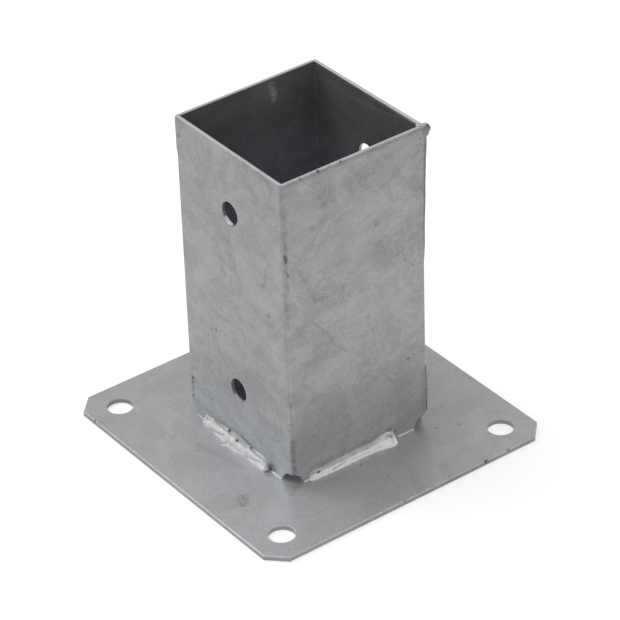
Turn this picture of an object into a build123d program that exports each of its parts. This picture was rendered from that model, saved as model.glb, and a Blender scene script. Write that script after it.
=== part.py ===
from build123d import *
import math
import os

# Post base: a square sleeve of two folded sheet halves, welded onto a square foot plate.
# Millimetres, +Z up, the origin at the middle of the foot plate's underside.
# The front half's fold is at +X -Y, the rear half's at -X +Y, and the cross bolts run along Y.

# Foot plate
plate_side = 150.0
plate_thickness = 2.5
plate_corner_cut = 8.0
plate_edge_round = 0.5
anchor_bolt = 10.0
anchor_clearance = 2.0
anchor_edge_distance = 15.0

# Sleeve
post_width = 70.0
post_clearance = 0.5
sheet_thickness = 1.5
sleeve_height = 152.0
fold_inner_radius = 0.5
rim_round = 0.3
rear_rim_rise = 0.9
open_edge_round = 0.9
seam_gap = 0.1
relief_radius = 6.8
relief_sink = 0.8
relief_fold_shift = 0.8
relief_bolted_edge_shift = 3.0
relief_plain_edge_shift = 0.5

# Cross bolts through the sleeve
cross_bolt = 10.0
cross_clearance = 1.0
cross_bolt_distance = 90.0

# Welds along the foot of the sleeve
weld_leg = 3.8
weld_sink = 1.6
front_weld_left_inset = 8.4
front_weld_right_inset = 15.4
side_weld_near_inset = 8.5
side_weld_far_inset = 17.6
rear_weld_inset = 12.0

# Welds up the two open corners of the sleeve, and the drop at the head of the long one
seam_weld_radius = 1.6
seam_weld_stand = 2.5
seam_weld_thin_radius = 1.1
seam_weld_thin_stand = 0.45
seam_weld_foot_stand = 0.9
seam_weld_set_back = 0.15
seam_weld_clear = 0.5
upper_seam_length = 70.0
lower_seam_length = 25.0
left_seam_length = 18.0
crown_weld_radius = 2.45
crown_weld_height = 7.4
crown_weld_inset = 1.4
crown_weld_stand = 2.0
crown_weld_below_rim = 0.1

# Sizes that follow
sleeve_inside = post_width + 2 * post_clearance
sleeve_side = sleeve_inside + 2 * sheet_thickness
half = sleeve_side / 2
inner_half = sleeve_inside / 2
fold_outer_radius = fold_inner_radius + sheet_thickness
sleeve_top = plate_thickness + sleeve_height
relief_middle = plate_thickness - relief_sink
relief_top = relief_middle + relief_radius
anchor_hole = anchor_bolt + anchor_clearance
anchor_spacing = plate_side - 2 * anchor_edge_distance
cross_hole = cross_bolt + cross_clearance
cross_middle = plate_thickness + sleeve_height / 2
plate_round = min(plate_edge_round, plate_thickness / 3)
sheet_round = min(rim_round, sheet_thickness / 3)
open_round = min(open_edge_round, 0.8 * sheet_thickness)
half_turn = Rot(0, 0, 180)


def make_plate() -> Part:
    """Foot plate: a square with its four corners cut off and a hole for an anchor at each."""
    outline = Rectangle(plate_side, plate_side)
    outline = chamfer(outline.vertices(), plate_corner_cut)
    outline -= GridLocations(anchor_spacing, anchor_spacing, 2, 2) * Circle(anchor_hole / 2)
    plate = extrude(outline, plate_thickness)
    rims = plate.edges().filter_by(Plane.XY).filter_by(GeomType.LINE)
    return fillet(rims, plate_round)


def sleeve_outline() -> Sketch:
    """Plan of the sleeve's outside: two folded corners and, at +X +Y and -X -Y, two open ones."""
    outline = Rectangle(sleeve_side, sleeve_side)
    folds = [v for v in outline.vertices() if v.X * v.Y < 0]
    outline = fillet(folds, fold_outer_radius)
    opens = [v for v in outline.vertices() if v.X * v.Y > 0 and abs(abs(v.X) - abs(v.Y)) < seam_gap]
    return fillet(opens, open_round)


def make_half_sleeve(reach: float, rise: float) -> Part:
    """One folded half, its legs along -Y and +X, each leg's end at reach from the middle.

    The rim climbs by rise from the +X leg to the far end of the -Y leg.
    """
    inside = Rectangle(2 * sleeve_side, 2 * sleeve_side)
    inside = Pos(inner_half - sleeve_side, sleeve_side - inner_half) * inside
    bend = [v for v in inside.vertices() if v.X > 0 and v.Y < 0]
    legs = sleeve_outline() - fillet(bend, fold_inner_radius)
    room = Rectangle(2 * sleeve_side, 2 * sleeve_side)
    legs &= Pos(sleeve_side - reach, reach - sleeve_side) * room
    sheet = Pos(0, 0, plate_thickness) * extrude(legs, sleeve_height + 2 * rise)
    rim = Plane(origin=(half, 0, sleeve_top), z_dir=(rise, 0, sleeve_side))
    sheet = split(sheet, rim, keep=Keep.BOTTOM) if rise > 0 else sheet
    sheet = fillet(sheet.faces().sort_by(Axis.Z)[-1].edges(), sheet_round)

    # Round punches take the foot of the fold and of both free edges away. The one at the fold is shifted
    # towards the bolted leg, so on the other leg its middle lies past the fold.
    depth = 2 * (sheet_thickness + fold_inner_radius)
    along_y = Rot(90, 0, 0) * Cylinder(relief_radius, depth)
    along_x = Rot(0, 90, 0) * Cylinder(relief_radius, depth)
    sheet -= Pos(-half - relief_bolted_edge_shift, -half, relief_middle) * along_y
    sheet -= Pos(half - relief_fold_shift, -half, relief_middle) * along_y
    sheet -= Pos(half, -half - relief_fold_shift, relief_middle) * along_x
    sheet -= Pos(half, half - relief_plain_edge_shift, relief_middle) * along_x

    # The cross bolts pass through the leg along -Y.
    punch = Rot(90, 0, 0) * Cylinder(cross_hole / 2, 4 * sheet_thickness)
    for height in (cross_middle - cross_bolt_distance / 2, cross_middle + cross_bolt_distance / 2):
        sheet -= Pos(0, -half, height) * punch
    return sheet


def pool(length: float, start_radius: float, end_radius: float) -> Part:
    """One run of weld metal along X from 0 to length: a taper between two round ends."""
    run = max(length - start_radius - end_radius, 0.2 * length)
    lean = math.asin((start_radius - end_radius) / run)
    sine, cosine = math.sin(lean), math.cos(lean)
    sine_half, cosine_half = math.sin(math.pi / 4 + lean / 2), math.cos(math.pi / 4 + lean / 2)
    first, last = start_radius, start_radius + run
    start_join = (first + start_radius * sine, start_radius * cosine)
    end_join = (last + end_radius * sine, end_radius * cosine)
    with BuildSketch() as section:
        with BuildLine():
            start_middle = (first - start_radius * cosine_half, start_radius * sine_half)
            ThreePointArc((0, 0), start_middle, start_join)
            Line(start_join, end_join)
            end_middle = (last + end_radius * sine_half, end_radius * cosine_half)
            ThreePointArc(end_join, end_middle, (last + end_radius, 0))
            Line((last + end_radius, 0), (0, 0))
        make_face()
    return revolve(section.sketch, Axis.X)


def foot_weld(side: int, insets: tuple[float, float], runs: list[tuple[float, ...]]) -> Part:
    """Fillet weld at the foot of wall 0 (-Y), 1 (+X), 2 (+Y) or 3 (-X), its ends inset from the corners.

    Each run is where it starts and ends as shares of the length, its leg there as shares of
    weld_leg, and its lean in degrees. The runs flow into each other and end flat on both sheets.
    """
    length = sleeve_side - sum(insets)
    metal = None
    for start, end, start_size, end_size, lean in runs:
        radii = [math.hypot(size * weld_leg + weld_sink, weld_sink) for size in (start_size, end_size)]
        span = (end - start) * length
        run = Rot(0, lean, -lean / 2) * Rot(-45, 0, 0) * Pos(-span / 2, 0, 0) * pool(span, *radii)
        run = Pos((start + end) / 2 * length, weld_sink, -weld_sink) * run
        metal = run if metal is None else metal + run
    room = Box(2 * length, 4 * weld_leg, 4 * weld_leg, align=(Align.CENTER, Align.MAX, Align.MIN))
    bead = metal & (Pos(length / 2, 0, 0) * room)
    return Rot(0, 0, 90 * side) * Pos(-half + insets[0], -half, plate_thickness) * bead


def seam_run(low: float, high: float, low_end: tuple[float, float], high_end: tuple[float, float]) -> Part:
    """Weld up the open +X +Y corner, set back a little from the +X wall and standing on the +Y wall.

    Each end is its radius and how far it stands out from the +Y wall.
    """
    edge = half - seam_weld_set_back
    foot = Vector(edge - low_end[0], half + low_end[1] - low_end[0], low)
    head = Vector(edge - high_end[0], half + high_end[1] - high_end[0], high)
    run = Rot(0, -90, 0) * pool((head - foot).length, low_end[0], high_end[0])
    return Plane(origin=foot, z_dir=head - foot).location * run


# Sheets
plate = make_plate()
front_half = make_half_sleeve(half, 0)
rear_half = half_turn * make_half_sleeve(inner_half - seam_gap, rear_rim_rise)
column = extrude(sleeve_outline(), sleeve_top)

# Foot welds: the front one in three leaning runs, the right one drawn out with a bulb at its far end,
# and the two behind each in one plain run
front_insets = (front_weld_left_inset, front_weld_right_inset)
side_insets = (side_weld_near_inset, side_weld_far_inset)
rear_insets = (rear_weld_inset, rear_weld_inset)
front_run_shares = [(0.0, 0.56, 1.0, 0.96, 3.0), (0.34, 0.82, 1.14, 0.96, 4.0), (0.60, 1.0, 1.0, 0.92, 3.0)]
side_run_shares = [(0.0, 0.66, 0.86, 0.94, 2.0), (0.34, 0.96, 0.92, 1.06, 1.0), (0.74, 1.0, 1.18, 1.18, 0.0)]
rear_run_shares = [(0.0, 1.0, 1.04, 0.94, 1.0)]

# Seam welds: on the right a long one that thins downwards from a fat drop at the rim, and a short one
# just above the punched foot; on the left two short ones that are nearly flush, on the -X wall
fat = (seam_weld_radius, seam_weld_stand)
thin = (seam_weld_thin_radius, seam_weld_thin_stand)
middling = (seam_weld_thin_radius, seam_weld_foot_stand)
rim_end = sleeve_top - seam_weld_clear
foot_end = relief_top + seam_weld_clear
upper_right = seam_run(rim_end - upper_seam_length, rim_end, thin, fat)
lower_right = seam_run(foot_end, foot_end + lower_seam_length, middling, thin)
upper_left = seam_run(rim_end - left_seam_length, rim_end, thin, thin)
lower_left = seam_run(foot_end, foot_end + left_seam_length, thin, thin)
crown = Rot(0, -90, 0) * pool(crown_weld_height, crown_weld_radius, crown_weld_radius)
crown_foot = sleeve_top - crown_weld_below_rim - crown_weld_height
crown = Pos(half - crown_weld_inset, half + crown_weld_stand, crown_foot) * crown
across_folds = Plane(origin=(0, 0, 0), z_dir=(1, 1, 0))

parts = {
    "base_plate": plate,
    "front_half_sleeve": front_half,
    "rear_half_sleeve": rear_half,
    "front_foot_weld": foot_weld(0, front_insets, front_run_shares),
    "right_foot_weld": foot_weld(1, side_insets, side_run_shares),
    "rear_foot_weld": foot_weld(2, rear_insets, rear_run_shares),
    "left_foot_weld": foot_weld(3, rear_insets, rear_run_shares),
    "right_upper_seam_weld": crown + upper_right - column - rear_half,
    "right_lower_seam_weld": lower_right - column,
    "left_upper_seam_weld": mirror(upper_left - column, about=across_folds),
    "left_lower_seam_weld": mirror(lower_left - column, about=across_folds),
}

os.makedirs("parts", exist_ok=True)
for name, solid in parts.items():
    solid.label = name
    export_step(solid, f"parts/{name}.step")
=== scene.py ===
"""Post base: a folded square sleeve welded upright on a flat foot plate, all hot-dip galvanised.

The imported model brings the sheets. This script gives them their zinc finish, lays detailed beads over
the plain welds, adds the zinc that set in cracks and holes, and sets the floor, the light and the camera.
Shapes and marks are written in millimetres and turned into metres when a mesh is made.
"""

import logging
import math
from dataclasses import dataclass
from enum import Enum
from typing import ClassVar

import bpy
import numpy as np
from mathutils import Matrix, Vector

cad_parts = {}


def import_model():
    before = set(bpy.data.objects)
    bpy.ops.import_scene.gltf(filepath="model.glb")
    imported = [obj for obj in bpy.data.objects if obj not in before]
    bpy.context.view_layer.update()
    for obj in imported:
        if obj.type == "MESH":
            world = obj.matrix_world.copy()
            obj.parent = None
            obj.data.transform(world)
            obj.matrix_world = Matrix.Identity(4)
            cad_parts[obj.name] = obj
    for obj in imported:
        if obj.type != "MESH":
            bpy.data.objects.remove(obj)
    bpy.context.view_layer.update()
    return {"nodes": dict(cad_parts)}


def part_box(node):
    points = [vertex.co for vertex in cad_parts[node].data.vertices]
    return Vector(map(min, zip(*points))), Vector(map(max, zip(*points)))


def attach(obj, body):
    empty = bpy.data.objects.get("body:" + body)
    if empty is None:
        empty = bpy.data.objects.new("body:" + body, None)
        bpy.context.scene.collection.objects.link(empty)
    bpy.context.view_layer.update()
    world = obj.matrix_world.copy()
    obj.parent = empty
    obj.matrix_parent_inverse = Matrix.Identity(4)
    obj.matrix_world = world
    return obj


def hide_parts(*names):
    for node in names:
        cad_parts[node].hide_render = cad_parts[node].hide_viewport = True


MM = 0.001
TINY = 1e-9
FULL_TURN = 2.0 * math.pi
LOG = logging.getLogger("post_base")
Node = bpy.types.Node
Socket = bpy.types.NodeSocket
NodeTree = bpy.types.NodeTree
Names = tuple[str, ...]
Pair = tuple[float, float]
Triple = tuple[float, float, float]
Value = Socket | float
Trio = Socket | Triple
Stops = tuple[Pair, ...]
Grids = tuple[np.ndarray, np.ndarray]


class Wall(Enum):
    """The sleeve's walls, as quarter turns from the one with the bolt holes in front."""

    FRONT = 0
    RIGHT = 1
    REAR = 2
    LEFT = 3


class Corner(Enum):
    """The sleeve's two open corners: the one at +X +Y, and its mirror image at -X -Y."""

    RIGHT = "right"
    LEFT = "left"


@dataclass(frozen=True)
class Sizes:
    """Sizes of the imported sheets, in millimetres."""

    plate_half: float
    plate_top: float
    half: float
    inner_half: float
    rim: float

    @classmethod
    def read(cls) -> "Sizes":
        """Reads the sheets' boxes from the frame.

        Returns:
            The sizes that the looks are fitted to.
        """
        plate_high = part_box("base_plate")[1]
        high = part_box("front_half_sleeve")[1]
        rear_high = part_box("rear_half_sleeve")[1]
        return cls(plate_high.x / MM, plate_high.z / MM, high.x / MM, rear_high.x / MM, high.z / MM)


class Face(Enum):
    """The faces that marks lie on, each with two distances of its own."""

    FRONT = "front wall, by X and Z"
    RIGHT = "right wall, by Y and Z"
    INNER_LEFT = "left wall's inside, by Y and Z"
    INNER_REAR = "rear wall's inside, by X and Z"
    PLATE = "plate's top, by X and Y"
    PLATE_RIGHT_EDGE = "plate's right side, by Y and Z"
    PLATE_FRONT_EDGE = "plate's front side, by X and Z"

    def place(self, sizes: Sizes, first: float, second: float) -> Triple:
        """Turns two distances on the face into a place.

        Args:
            sizes: The sheets' sizes.
            first: The first distance, in mm.
            second: The second distance, in mm.

        Returns:
            X, Y and Z in mm.
        """
        places = {
            Face.FRONT: (first, -sizes.half, second),
            Face.RIGHT: (sizes.half, first, second),
            Face.INNER_LEFT: (-sizes.inner_half, first, second),
            Face.INNER_REAR: (first, sizes.inner_half, second),
            Face.PLATE: (first, second, sizes.plate_top),
            Face.PLATE_RIGHT_EDGE: (sizes.plate_half, first, second),
            Face.PLATE_FRONT_EDGE: (first, -sizes.plate_half, second),
        }
        return places[self]


# Shapes


def plane_waves(first: np.ndarray, second: np.ndarray, length: float, seed: int) -> np.ndarray:
    """Seeded ripples over two lengths: a sum of plane waves about one length long, from about -1 to 1.

    Args:
        first: Distances one way, in mm.
        second: Distances the other way, in mm.
        length: The usual wave's length, in mm.
        seed: Picks the waves.

    Returns:
        The ripples, shaped as first and second together.
    """
    picker = np.random.default_rng(seed)
    count, shortest, longest = 14, 0.7, 1.5
    turn = picker.uniform(0.0, FULL_TURN, count)
    phase = picker.uniform(0.0, FULL_TURN, count)
    rate = FULL_TURN / (length * picker.uniform(shortest, longest, count))
    first, second = np.broadcast_arrays(first, second)
    along = first[..., None] * np.cos(turn) + second[..., None] * np.sin(turn)
    return np.cos(along * rate + phase).sum(axis=-1) / math.sqrt(2.0 * count)


def round_ends(along: np.ndarray, length: float, first: float, last: float) -> np.ndarray:
    """Quarter circles at both ends: 0 at each end, rising to 1 after the end's own radius.

    Args:
        along: Distances from the start, in mm.
        length: The whole length, in mm.
        first: Radius at the start, in mm.
        last: Radius at the end, in mm.

    Returns:
        The share of the full section at each distance.
    """
    from_start = np.clip((first - along) / first, 0.0, 1.0)
    from_end = np.clip((along - length + last) / last, 0.0, 1.0)
    return np.sqrt(np.clip(1.0 - from_start**2 - from_end**2, 0.0, 1.0))


def smooth_course(along: np.ndarray, stops: Stops) -> np.ndarray:
    """A value that eases from stop to stop: between two stops it follows 3t^2 - 2t^3.

    Args:
        along: Distances, in mm.
        stops: Pairs of a distance and the value there.

    Returns:
        The value at each distance.
    """
    places = np.array([stop[0] for stop in stops])
    values = np.array([stop[1] for stop in stops])
    step = np.clip(np.searchsorted(places, along) - 1, 0, len(stops) - 2)
    share = np.clip((along - places[step]) / (places[step + 1] - places[step]), 0.0, 1.0)
    eased = share * share * (3.0 - 2.0 * share)
    return values[step] + (values[step + 1] - values[step]) * eased


def closed_skin(name: str, rings: np.ndarray, tone: np.ndarray, looped: bool = False) -> bpy.types.Object:
    """Makes a closed mesh through rings of points, with a pole at each end or its two ends joined.

    Its faces are turned over where they would enclose a negative volume, so they point outwards.

    Args:
        name: The piece's name.
        rings: Points in mm, as (stations, points around, 3).
        tone: How much brighter than its coat each point is, as (stations, points around).
        looped: Whether the last ring joins the first.

    Returns:
        The new object, smooth shaded, at the origin.
    """
    stations, around = rings.shape[:2]
    points, tones = rings.reshape(-1, 3), tone.reshape(-1)
    row = np.arange(stations * around).reshape(stations, around)
    after = np.roll(row, -1, axis=0)
    quads = np.stack([row, np.roll(row, -1, axis=1), np.roll(after, -1, axis=1), after], axis=-1)
    caps = np.zeros((0, 3), dtype=int)
    if not looped:
        quads = quads[:-1]
        first_pole = np.full(around, stations * around)
        start = np.stack([np.roll(row[0], -1), row[0], first_pole], axis=-1)
        end = np.stack([row[-1], np.roll(row[-1], -1), first_pole + 1], axis=-1)
        caps = np.vstack([start, end])
        points = np.vstack([points, rings[0].mean(axis=0), rings[-1].mean(axis=0)])
        tones = np.append(tones, [tone[0].mean(), tone[-1].mean()])
    quads = quads.reshape(-1, 4)
    corners = points[np.vstack([quads[:, [0, 1, 2]], quads[:, [0, 2, 3]], caps])]
    volume = np.einsum("ij,ij->i", corners[:, 0], np.cross(corners[:, 1], corners[:, 2])).sum()
    if volume < 0:
        quads, caps = quads[:, ::-1], caps[:, ::-1]
    mesh = bpy.data.meshes.new(name)
    mesh.from_pydata((points * MM).tolist(), [], quads.tolist() + caps.tolist())
    mesh.polygons.foreach_set("use_smooth", np.ones(len(mesh.polygons), dtype=bool))
    mesh.attributes.new("tone", "FLOAT", "POINT").data.foreach_set("value", tones.astype(np.float32))
    mesh.update()
    piece = bpy.data.objects.new(name, mesh)
    bpy.context.scene.collection.objects.link(piece)
    return piece


def quarter_turned(points: np.ndarray, turns: int) -> np.ndarray:
    """Points turned about Z by a number of quarter turns.

    Args:
        points: Points in mm, the last axis being X, Y and Z.
        turns: Quarter turns, from +X towards +Y.

    Returns:
        The turned points.
    """
    cosine, sine = round(math.cos(turns * math.pi / 2)), round(math.sin(turns * math.pi / 2))
    turn = np.array([[cosine, -sine, 0.0], [sine, cosine, 0.0], [0.0, 0.0, 1.0]])
    return points @ turn.T


@dataclass(frozen=True)
class Fold:
    """A ridge or groove along a straight line on a bead, or a lump or pit where the line has no length.

    Places are a distance along the bead in mm and a share of the way across it. tone is how much
    brighter the zinc is there: painted shade in grooves, painted highlights on ridges and lumps, and dark
    pits.
    """

    start: Pair
    end: Pair
    height: float
    width: float
    tone: float

    def bell(self, along: np.ndarray, across: np.ndarray, girth: float) -> np.ndarray:
        """A bell curve over the surface: e to the minus square of the distance to the line over width.

        Args:
            along: Distances along the bead, in mm.
            across: Shares of the way across the bead.
            girth: Length that a share of 1 stands for, in mm.

        Returns:
            1 on the line, falling to 0 beside it.
        """
        run = np.array([self.end[0] - self.start[0], (self.end[1] - self.start[1]) * girth])
        first, second = along - self.start[0], (across - self.start[1]) * girth
        share = np.clip((first * run[0] + second * run[1]) / max(run @ run, TINY), 0.0, 1.0)
        away = np.hypot(first - share * run[0], second - share * run[1])
        return np.exp(-((away / self.width) ** 2))


@dataclass(frozen=True)
class FootBead:
    """Fillet bead between a wall's foot and the plate.

    The section runs from the wall's toe over a shoulder to the plate's toe. It is a rational
    quadratic curve, whose shoulder is its middle point and shoulder_weight that point's pull.
    Stops and folds give distances from the wall's first corner. Lengths are in mm, roughness, ripple
    and fibre are heights, and band is the zinc's tone from the wall's toe to the plate's: painted light
    and shade, darkest on the upper part, which faces away from the light.
    """

    name: str
    wall: Wall
    start: float
    end: float
    wall_leg: Stops
    plate_leg: Stops
    roughness: float
    shading_band: Stops
    seed: int
    replaced: str = ""
    shoulder_out: float = 0.70
    shoulder_up: float = 0.90
    shoulder_weight: float = 1.3
    end_round: float = 1.6
    ripple: float = 0.0
    fibre: float = 0.0
    folds: tuple[Fold, ...] = ()
    stations: int = 300
    points_across: int = 48
    girth: ClassVar[float] = 6.4
    sunk: ClassVar[float] = 0.06
    long_wave: ClassVar[float] = 3.4
    toe_wave: ClassVar[float] = 2.6
    short_wave: ClassVar[float] = 1.2
    ripple_pitch: ClassVar[float] = 1.7
    ripple_bow: ClassVar[float] = 1.1

    def section(self, along: np.ndarray, share: np.ndarray, ends: np.ndarray) -> Grids:
        """Works out the smooth section at each station.

        The curve's three points are weighed by (1 - t)^2, 2wt(1 - t) and t^2, and their sum is divided
        by the sum of the weights. Both legs waver a little along the bead, the plate's the more.

        Args:
            along: Distances from the wall's first corner, in mm.
            share: Shares of the way across, from the wall's toe to the plate's.
            ends: The share of the full section at each distance.

        Returns:
            Distances out of the wall's face and up from the plate, in mm.
        """
        wall_waver = plane_waves(along, np.zeros_like(along), self.long_wave, self.seed)
        plate_waver = plane_waves(along, np.ones_like(along), self.toe_wave, self.seed + 1)
        more = 1.2
        up = smooth_course(along, self.wall_leg) * (1.0 + self.roughness * wall_waver) * ends
        out = smooth_course(along, self.plate_leg) * (1.0 + more * self.roughness * plate_waver) * ends
        first, last = (1.0 - share) ** 2, share**2
        middle = 2.0 * self.shoulder_weight * share * (1.0 - share)
        whole = first + middle + last
        away = (middle * self.shoulder_out + last) * out / whole
        return away, (first + middle * self.shoulder_up) * up / whole

    def relief(self, along: np.ndarray, share: np.ndarray) -> Grids:
        """Adds up what stands out of the smooth section: lumps, bowed ripples, fibres and folds.

        The fibres are waves drawn out along the bead, with a painted highlight where they stand higher.

        Args:
            along: Distances from the wall's first corner, in mm.
            share: Shares of the way across.

        Returns:
            Heights above the section, in mm, and how much brighter the zinc is: painted light and shade, and
            dark pits.
        """
        across = share * self.girth
        large, small, drawn_out, shine = 1.2, 0.35, 0.2, 1.6
        rise = large * self.roughness * plane_waves(along, across, self.long_wave, self.seed + 2)
        rise = rise + small * self.roughness * plane_waves(along, across, self.short_wave, self.seed + 3)
        bow = self.ripple_bow * np.sin(math.pi * share)
        rise = rise + self.ripple * np.sin(FULL_TURN * (along + bow) / self.ripple_pitch)
        fibres = self.fibre * plane_waves(drawn_out * along, across, self.short_wave, self.seed + 4)
        rise = rise + fibres
        # Painted light and shade across the bead, and a painted highlight on the fibres.
        tone = smooth_course(share, self.shading_band) + shine * fibres
        for fold in self.folds:
            bell = fold.bell(along, share, self.girth)
            rise = rise + fold.height * bell
            tone = tone + fold.tone * bell
        return rise, tone

    def surface(self, sizes: Sizes) -> Grids:
        """Works out the bead's sections and their tone.

        Each point is the section's curve, moved along its own normal by the relief, which fades to
        nothing at the toes and the ends. A last point on each ring closes it inside the corner of
        wall and plate.

        Args:
            sizes: The sheets' sizes.

        Returns:
            Points in mm, as (stations, points around, 3), and their tone.
        """
        along = np.linspace(self.start, self.end, self.stations)[:, None]
        share = np.linspace(0.0, 1.0, self.points_across)[None, :]
        ends = round_ends(along - self.start, self.end - self.start, self.end_round, self.end_round)
        away, height = self.section(along, share, ends)
        normal_away, normal_height = -np.gradient(height, axis=1), np.gradient(away, axis=1)
        size = np.maximum(np.hypot(normal_away, normal_height), TINY)
        rise, tone = self.relief(along, share)
        rise = rise * ends * np.sqrt(np.maximum(np.sin(math.pi * share), 0.0))
        away = away + rise * normal_away / size
        height = height + rise * normal_height / size

        away = np.hstack([np.maximum(away, 0.0), np.zeros_like(along)]) - self.sunk
        height = np.hstack([np.maximum(height, 0.0), np.zeros_like(along)]) - self.sunk
        course = np.broadcast_to(along - sizes.half, away.shape)
        points = np.stack([course, -sizes.half - away, sizes.plate_top + height], axis=-1)
        return quarter_turned(points, self.wall.value), np.hstack([tone, tone[:, -1:]])


@dataclass(frozen=True)
class SeamBead:
    """Bead up an open corner of the sleeve, nearly flush with one wall and standing on the other.

    The section is a superellipse, |x / a|^n + |y / b|^n = 1 with n as squareness, whose box reaches
    from inner_corner to its two faces. flush and stand say how far those stand out of the two walls,
    at heights above the floor. A fold's place across is a share of a full turn.
    """

    name: str
    corner: Corner
    low: float
    high: float
    stand: Stops
    seed: int
    flush: Stops = ((0.0, -0.07), (200.0, -0.07))
    inner_corner: Pair = (35.65, 35.65)
    replaced: str = ""
    squareness: float = 4.0
    low_round: float = 1.2
    high_round: float = 0.5
    roughness: float = 0.05
    # How much brighter the bead is; on the right corner's beads a darker tone is painted shade.
    tone: float = 0.0
    folds: tuple[Fold, ...] = ()
    fewest_stations: ClassVar[int] = 60
    spacing: ClassVar[float] = 0.25
    points_around: ClassVar[int] = 56
    long_wave: ClassVar[float] = 2.8
    short_wave: ClassVar[float] = 1.1

    def surface(self, sizes: Sizes) -> Grids:
        """Works out the bead's sections, with waves and folds on them, and their tone.

        The waves are read along the height and round a circle, so that they meet after a full turn.

        Args:
            sizes: The sheets' sizes.

        Returns:
            Points in mm, as (stations, points around, 3), and their tone.
        """
        stations = max(self.fewest_stations, int((self.high - self.low) / self.spacing))
        height = np.linspace(self.low, self.high, stations)[:, None]
        turn = np.linspace(0.0, FULL_TURN, self.points_around, endpoint=False)[None, :]
        ends = round_ends(height - self.low, self.high - self.low, self.low_round, self.high_round)
        outer_x = sizes.half + smooth_course(height, self.flush)
        outer_y = sizes.half + smooth_course(height, self.stand)
        half_x, half_y = (outer_x - self.inner_corner[0]) / 2, (outer_y - self.inner_corner[1]) / 2
        power = self.squareness
        reach = (np.abs(np.cos(turn)) ** power + np.abs(np.sin(turn)) ** power) ** (-1.0 / power)
        circle, climb, finer = 1.8, 0.7, 0.5
        first, second = circle * np.cos(turn), circle * np.sin(turn)
        waves = plane_waves(height + first, second + climb * height, self.long_wave, self.seed)
        fine_waves = plane_waves(height, first - second, self.short_wave, self.seed + 1)
        rise = self.roughness * waves + finer * self.roughness * fine_waves
        tone = np.full(rise.shape, self.tone)
        girth = math.pi * float((half_x + half_y).mean())
        for fold in self.folds:
            bell = fold.bell(height, turn / FULL_TURN, girth)
            rise = rise + fold.height * bell
            tone = tone + fold.tone * bell
        x = outer_x - half_x + (half_x * reach + rise) * ends * np.cos(turn)
        y = outer_y - half_y + (half_y * reach + rise) * ends * np.sin(turn)
        if self.corner is Corner.LEFT:
            x, y = -y, -x
        return np.stack([x, y, np.broadcast_to(height, x.shape)], axis=-1), tone


@dataclass(frozen=True)
class HoleFilm:
    """Film of zinc that set in a cross hole, from one angle to another, from +X towards +Z.

    Its thickness follows the root of a sine from end to end. Its section is a blunt half ellipse, of
    which each point is cos(a) through the sheet and sin(a)^bluntness thicknesses out of the hole's
    side. It is as deep as the sheet and narrows towards both ends.
    """

    name: str
    height: float
    start: float
    end: float
    tone: float
    thick: float = 0.22
    hole_radius: ClassVar[float] = 5.5
    sunk: ClassVar[float] = 0.03
    back: ClassVar[float] = 0.05
    bluntness: ClassVar[float] = 0.6
    depth: ClassVar[float] = 0.52
    narrowest: ClassVar[float] = 0.6
    stations: ClassVar[int] = 60
    points_around: ClassVar[int] = 28

    def surface(self, sizes: Sizes) -> Grids:
        """Works out the film's sections round the hole, and their tone.

        Args:
            sizes: The sheets' sizes.

        Returns:
            Points in mm, as (stations, points around, 3), and their tone.
        """
        share = np.linspace(0.0, 1.0, self.stations)[:, None]
        angle = np.radians(self.start + (self.end - self.start) * share)
        around = np.linspace(0.0, FULL_TURN, self.points_around, endpoint=False)[None, :]
        first_tip, last_tip = 0.01, 0.99
        swell = np.sqrt(np.sin(math.pi * np.clip(share, first_tip, last_tip)))
        inward = np.maximum(np.sin(around), 0.0) ** self.bluntness * self.thick * swell
        outward = self.back * np.minimum(np.sin(around), 0.0)
        radius = self.hole_radius + self.sunk - inward - outward
        sheet = sizes.half - sizes.inner_half
        width = self.narrowest + (1.0 - self.narrowest) * swell
        y = -sizes.half + sheet / 2 + self.depth * sheet * np.cos(around) * width
        y = np.broadcast_to(y, radius.shape)
        points = np.stack([radius * np.cos(angle), y, self.height + radius * np.sin(angle)], axis=-1)
        return points, np.full(radius.shape, self.tone)


@dataclass(frozen=True)
class HoleLip:
    """Low lip of zinc round an anchor hole: a ring whose round section is sunk in the plate."""

    name: str
    middle: Pair
    seed: int
    hole_radius: ClassVar[float] = 6.0
    out: ClassVar[float] = 0.30
    half_width: ClassVar[float] = 0.36
    top: ClassVar[float] = 0.07
    wave: ClassVar[float] = 5.0
    stations: ClassVar[int] = 160
    points_around: ClassVar[int] = 16

    def surface(self, sizes: Sizes) -> Grids:
        """Works out the ring's sections, whose width and height waver a little, and their tone.

        Args:
            sizes: The sheets' sizes.

        Returns:
            Points in mm, as (stations, points around, 3), and their tone.
        """
        turn = np.linspace(0.0, FULL_TURN, self.stations, endpoint=False)[:, None]
        around = np.linspace(0.0, FULL_TURN, self.points_around, endpoint=False)[None, :]
        edge_x, edge_y = self.hole_radius * np.cos(turn), self.hole_radius * np.sin(turn)
        waver = plane_waves(edge_x, edge_y, self.wave, self.seed)
        wider, higher = 0.12, 0.5
        radius = self.hole_radius + self.out + self.half_width * np.cos(around) * (1.0 + wider * waver)
        crest = sizes.plate_top + self.top * (1.0 + higher * waver)
        height = crest - self.half_width * (1.0 - np.sin(around))
        x = self.middle[0] + radius * np.cos(turn)
        y = self.middle[1] + radius * np.sin(turn)
        return np.stack([x, y, height], axis=-1), np.zeros(x.shape)


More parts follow.
